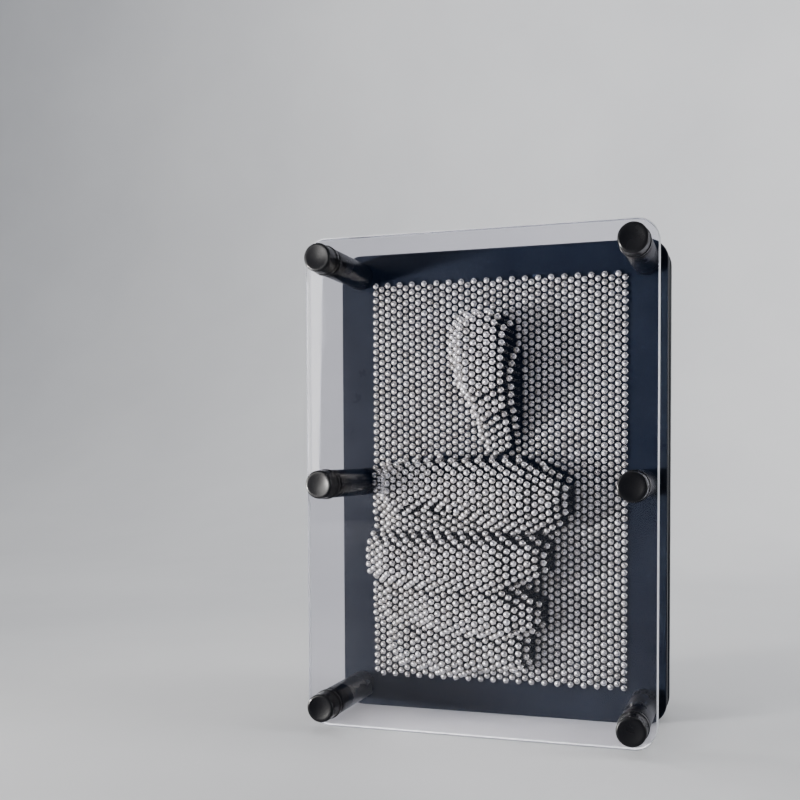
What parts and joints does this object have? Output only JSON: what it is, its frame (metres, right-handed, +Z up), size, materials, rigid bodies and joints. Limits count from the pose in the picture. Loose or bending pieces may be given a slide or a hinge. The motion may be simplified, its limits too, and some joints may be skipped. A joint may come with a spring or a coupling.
{
  "type": "pin art impression toy",
  "caption": "Pin art impression toy: headed steel pins slide through black perforated plates behind a clear window on posts, holding the impression of a raised thumb.",
  "frame": {"origin": "centre of the footprint at the bottom edges of the window and plates, which it stands on", "axes": "+Z up, the clear window faces -Y, X runs left to right; the pins slide along Y and toward the window is -Y"},
  "size_m": [0.1274, 0.0862, 0.178],
  "materials": {
    "clear_acrylic": "clear polished acrylic",
    "black_plate": "satin black moulded sheet",
    "black_gloss": "glossy black moulding",
    "bright_steel": "bright nickel-plated steel",
    "zinc_rod": "zinc-plated steel"
  },
  "bodies": {
    "frame": {"front_window": "clear_acrylic", "front_pin_plate_left": "black_plate", "front_pin_plate_mid_left": "black_plate", "front_pin_plate_mid_right": "black_plate", "front_pin_plate_right": "black_plate", "back_guide_plate_left": "black_plate", "back_guide_plate_mid_left": "black_plate", "back_guide_plate_mid_right": "black_plate", "back_guide_plate_right": "black_plate", "post_top_left": "black_gloss", "post_top_right": "black_gloss", "post_middle_left": "black_gloss", "post_middle_right": "black_gloss", "post_bottom_left": "black_gloss", "post_bottom_right": "black_gloss", "front_cap_top_left": "black_gloss", "front_cap_top_right": "black_gloss", "front_cap_middle_left": "black_gloss", "front_cap_middle_right": "black_gloss", "front_cap_bottom_left": "black_gloss", "front_cap_bottom_right": "black_gloss", "plate_spacers": "black_gloss", "rear_caps": "black_gloss", "tie_rods": "zinc_rod"},
    "pins_level_00": {"pins_level_00_top": "bright_steel", "pins_level_00_upper": "bright_steel", "pins_level_00_lower": "bright_steel", "pins_level_00_bottom": "bright_steel"},
    "pins_level_01": {"pins_level_01": "bright_steel"},
    "pins_level_02": {"pins_level_02": "bright_steel"},
    "pins_level_03": {"pins_level_03": "bright_steel"},
    "pins_level_04": {"pins_level_04": "bright_steel"},
    "pins_level_05": {"pins_level_05": "bright_steel"},
    "pins_level_06": {"pins_level_06": "bright_steel"},
    "pins_level_07": {"pins_level_07": "bright_steel"},
    "pins_level_08": {"pins_level_08": "bright_steel"},
    "pins_level_09": {"pins_level_09": "bright_steel"},
    "pins_level_10": {"pins_level_10": "bright_steel"},
    "pins_level_11": {"pins_level_11": "bright_steel"},
    "pins_level_12": {"pins_level_12": "bright_steel"},
    "pins_level_13": {"pins_level_13": "bright_steel"},
    "pins_level_14": {"pins_level_14": "bright_steel"},
    "pins_level_15": {"pins_level_15": "bright_steel"},
    "pins_level_16": {"pins_level_16": "bright_steel"},
    "pins_level_17": {"pins_level_17": "bright_steel"}
  },
  "joints": [
    {"name": "pins_level_00_slide", "type": "slide", "parent": "frame", "child": "pins_level_00", "axis": [0, -1, 0], "range_m": [0, 0.029]},
    {"name": "pins_level_01_slide", "type": "slide", "parent": "frame", "child": "pins_level_01", "axis": [0, -1, 0], "range_m": [-0.00125, 0.02775]},
    {"name": "pins_level_02_slide", "type": "slide", "parent": "frame", "child": "pins_level_02", "axis": [0, -1, 0], "range_m": [-0.0025, 0.0265]},
    {"name": "pins_level_03_slide", "type": "slide", "parent": "frame", "child": "pins_level_03", "axis": [0, -1, 0], "range_m": [-0.00375, 0.02525]},
    {"name": "pins_level_04_slide", "type": "slide", "parent": "frame", "child": "pins_level_04", "axis": [0, -1, 0], "range_m": [-0.005, 0.024]},
    {"name": "pins_level_05_slide", "type": "slide", "parent": "frame", "child": "pins_level_05", "axis": [0, -1, 0], "range_m": [-0.00625, 0.02275]},
    {"name": "pins_level_06_slide", "type": "slide", "parent": "frame", "child": "pins_level_06", "axis": [0, -1, 0], "range_m": [-0.0075, 0.0215]},
    {"name": "pins_level_07_slide", "type": "slide", "parent": "frame", "child": "pins_level_07", "axis": [0, -1, 0], "range_m": [-0.00875, 0.02025]},
    {"name": "pins_level_08_slide", "type": "slide", "parent": "frame", "child": "pins_level_08", "axis": [0, -1, 0], "range_m": [-0.01, 0.019]},
    {"name": "pins_level_09_slide", "type": "slide", "parent": "frame", "child": "pins_level_09", "axis": [0, -1, 0], "range_m": [-0.01125, 0.01775]},
    {"name": "pins_level_10_slide", "type": "slide", "parent": "frame", "child": "pins_level_10", "axis": [0, -1, 0], "range_m": [-0.0125, 0.0165]},
    {"name": "pins_level_11_slide", "type": "slide", "parent": "frame", "child": "pins_level_11", "axis": [0, -1, 0], "range_m": [-0.01375, 0.01525]},
    {"name": "pins_level_12_slide", "type": "slide", "parent": "frame", "child": "pins_level_12", "axis": [0, -1, 0], "range_m": [-0.015, 0.014]},
    {"name": "pins_level_13_slide", "type": "slide", "parent": "frame", "child": "pins_level_13", "axis": [0, -1, 0], "range_m": [-0.01625, 0.01275]},
    {"name": "pins_level_14_slide", "type": "slide", "parent": "frame", "child": "pins_level_14", "axis": [0, -1, 0], "range_m": [-0.0175, 0.0115]},
    {"name": "pins_level_15_slide", "type": "slide", "parent": "frame", "child": "pins_level_15", "axis": [0, -1, 0], "range_m": [-0.01875, 0.01025]},
    {"name": "pins_level_16_slide", "type": "slide", "parent": "frame", "child": "pins_level_16", "axis": [0, -1, 0], "range_m": [-0.02, 0.009]},
    {"name": "pins_level_17_slide", "type": "slide", "parent": "frame", "child": "pins_level_17", "axis": [0, -1, 0], "range_m": [-0.02125, 0.00775]}
  ]
}
